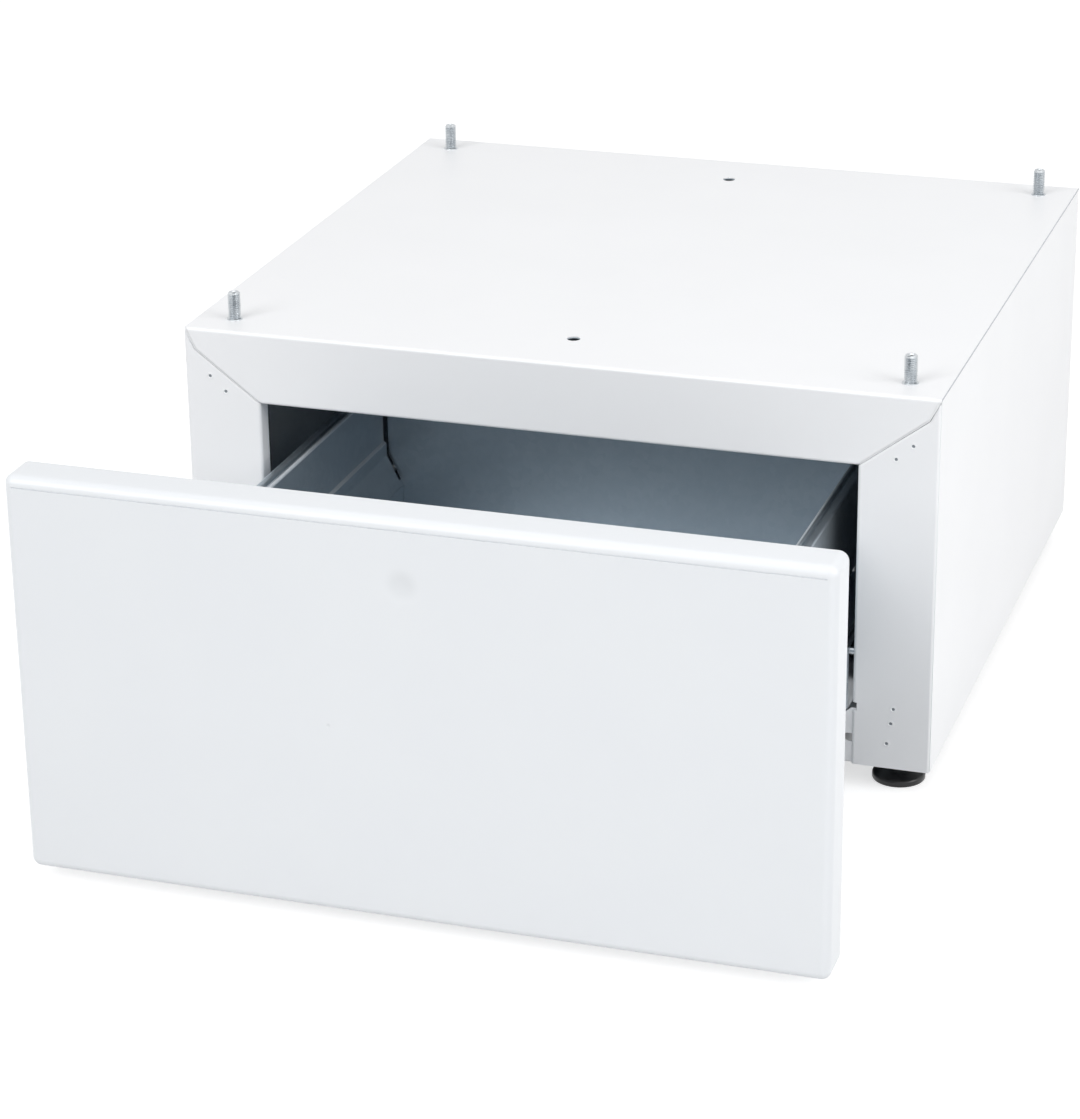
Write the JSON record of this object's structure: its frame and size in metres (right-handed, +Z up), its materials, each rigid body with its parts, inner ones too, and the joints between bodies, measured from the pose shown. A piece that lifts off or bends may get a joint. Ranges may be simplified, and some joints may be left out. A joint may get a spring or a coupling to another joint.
{
  "type": "washer pedestal drawer",
  "caption": "White sheet-steel pedestal for a washing machine, with a pull-out drawer on ball-bearing slides, threaded studs on top and screw feet below.",
  "frame": {"origin": "on the floor, in the middle of the footprint with the drawer pulled out as it stands", "axes": "+Z up, +Y to the rear, so the drawer pulls out along -Y; +X to the right seen from the front"},
  "size_m": [0.596, 0.8846, 0.3425],
  "materials": {
    "white_powder_coat": "satin",
    "white_front_enamel": "satin",
    "zinc_sheet": "satin",
    "slide_steel": "bright zinc plated",
    "bearing_steel": "polished",
    "plated_steel": "zinc plated",
    "black_plastic": "semi gloss",
    "clear_rubber": "matte"
  },
  "bodies": {
    "cabinet": {"top_panel": "white_powder_coat", "side_panel_left": "white_powder_coat", "side_panel_right": "white_powder_coat", "back_panel": "white_powder_coat", "bottom_rail_front": "white_powder_coat", "bottom_rail_rear": "white_powder_coat", "stud_rail_left": "zinc_sheet", "stud_rail_right": "zinc_sheet", "post_front_left": "zinc_sheet", "post_front_right": "zinc_sheet", "post_rear_left": "zinc_sheet", "post_rear_right": "zinc_sheet", "foot_bracket_front_left": "zinc_sheet", "foot_bracket_front_right": "zinc_sheet", "foot_bracket_rear_left": "zinc_sheet", "foot_bracket_rear_right": "zinc_sheet", "studs": "plated_steel", "weld_nuts": "zinc_sheet", "lock_nuts": "plated_steel", "back_screws": "plated_steel", "slide_bracket_left": "zinc_sheet", "slide_bracket_right": "zinc_sheet", "tie_screws": "plated_steel", "slide_screws": "plated_steel", "slide_outer_left": "slide_steel", "slide_outer_right": "slide_steel"},
    "middle_left": {"slide_middle_left": "slide_steel"},
    "middle_right": {"slide_middle_right": "slide_steel"},
    "cage_outer_left": {"cage_outer_left": "bearing_steel", "balls_outer_left": "bearing_steel"},
    "cage_outer_right": {"cage_outer_right": "bearing_steel", "balls_outer_right": "bearing_steel"},
    "cage_inner_left": {"cage_inner_left": "bearing_steel", "balls_inner_left": "bearing_steel"},
    "cage_inner_right": {"cage_inner_right": "bearing_steel", "balls_inner_right": "bearing_steel"},
    "drawer": {"slide_inner_left": "slide_steel", "slide_inner_right": "slide_steel", "front_skin": "white_front_enamel", "front_cover": "zinc_sheet", "front_stiffener": "zinc_sheet", "box_front": "zinc_sheet", "box_floor": "zinc_sheet", "box_side_left": "zinc_sheet", "box_side_right": "zinc_sheet", "box_back": "zinc_sheet", "runner_rail_left": "zinc_sheet", "runner_rail_right": "zinc_sheet", "runner_screws": "plated_steel", "front_screws": "plated_steel", "bumpers": "clear_rubber"},
    "foot_front_left": {"pad_front_left": "black_plastic"},
    "spindle_front_left": {"spindle_front_left": "plated_steel"},
    "foot_front_right": {"pad_front_right": "black_plastic"},
    "spindle_front_right": {"spindle_front_right": "plated_steel"},
    "foot_rear_left": {"pad_rear_left": "black_plastic"},
    "spindle_rear_left": {"spindle_rear_left": "plated_steel"},
    "foot_rear_right": {"pad_rear_right": "black_plastic"},
    "spindle_rear_right": {"spindle_rear_right": "plated_steel"}
  },
  "joints": [
    {"name": "drawer_slide", "type": "slide", "parent": "cabinet", "child": "drawer", "axis": [0, -1, 0], "range_m": [-0.285, 0.165]},
    {"name": "middle_slide_left", "type": "slide", "parent": "cabinet", "child": "middle_left", "axis": [0, -1, 0], "range_m": [-0.143, 0.083]},
    {"name": "middle_slide_right", "type": "slide", "parent": "cabinet", "child": "middle_right", "axis": [0, -1, 0], "range_m": [-0.143, 0.083]},
    {"name": "cage_outer_slide_left", "type": "slide", "parent": "cabinet", "child": "cage_outer_left", "axis": [0, -1, 0], "range_m": [-0.07175, 0.04175]},
    {"name": "cage_outer_slide_right", "type": "slide", "parent": "cabinet", "child": "cage_outer_right", "axis": [0, -1, 0], "range_m": [-0.07175, 0.04175]},
    {"name": "cage_inner_slide_left", "type": "slide", "parent": "cabinet", "child": "cage_inner_left", "axis": [0, -1, 0], "range_m": [-0.21425, 0.12425]},
    {"name": "cage_inner_slide_right", "type": "slide", "parent": "cabinet", "child": "cage_inner_right", "axis": [0, -1, 0], "range_m": [-0.21425, 0.12425]},
    {"name": "height_front_left", "type": "slide", "parent": "cabinet", "child": "foot_front_left", "axis": [0, 0, -1], "range_m": [-0.003, 0.012]},
    {"name": "turn_front_left", "type": "hinge", "parent": "foot_front_left", "child": "spindle_front_left", "pos_m": [-0.268, -0.0943, 0.0205], "axis": [0, 0, -1], "range_deg": [-745, 2905]},
    {"name": "height_front_right", "type": "slide", "parent": "cabinet", "child": "foot_front_right", "axis": [0, 0, -1], "range_m": [-0.003, 0.012]},
    {"name": "turn_front_right", "type": "hinge", "parent": "foot_front_right", "child": "spindle_front_right", "pos_m": [0.268, -0.0943, 0.0205], "axis": [0, 0, -1], "range_deg": [-745, 2905]},
    {"name": "height_rear_left", "type": "slide", "parent": "cabinet", "child": "foot_rear_left", "axis": [0, 0, -1], "range_m": [-0.003, 0.012]},
    {"name": "turn_rear_left", "type": "hinge", "parent": "foot_rear_left", "child": "spindle_rear_left", "pos_m": [-0.268, 0.4107, 0.0205], "axis": [0, 0, -1], "range_deg": [-745, 2905]},
    {"name": "height_rear_right", "type": "slide", "parent": "cabinet", "child": "foot_rear_right", "axis": [0, 0, -1], "range_m": [-0.003, 0.012]},
    {"name": "turn_rear_right", "type": "hinge", "parent": "foot_rear_right", "child": "spindle_rear_right", "pos_m": [0.268, 0.4107, 0.0205], "axis": [0, 0, -1], "range_deg": [-745, 2905]}
  ],
  "couplings": [
    {"joint": "middle_slide_left", "follows": "drawer_slide", "ratio": 0.5},
    {"joint": "middle_slide_right", "follows": "drawer_slide", "ratio": 0.5},
    {"joint": "cage_outer_slide_left", "follows": "drawer_slide", "ratio": 0.25},
    {"joint": "cage_outer_slide_right", "follows": "drawer_slide", "ratio": 0.25},
    {"joint": "cage_inner_slide_left", "follows": "drawer_slide", "ratio": 0.75},
    {"joint": "cage_inner_slide_right", "follows": "drawer_slide", "ratio": 0.75},
    {"joint": "turn_front_left", "follows": "height_front_left", "rad_per_m": 4188.8},
    {"joint": "turn_front_right", "follows": "height_front_right", "rad_per_m": 4188.8},
    {"joint": "turn_rear_left", "follows": "height_rear_left", "rad_per_m": 4188.8},
    {"joint": "turn_rear_right", "follows": "height_rear_right", "rad_per_m": 4188.8}
  ]
}
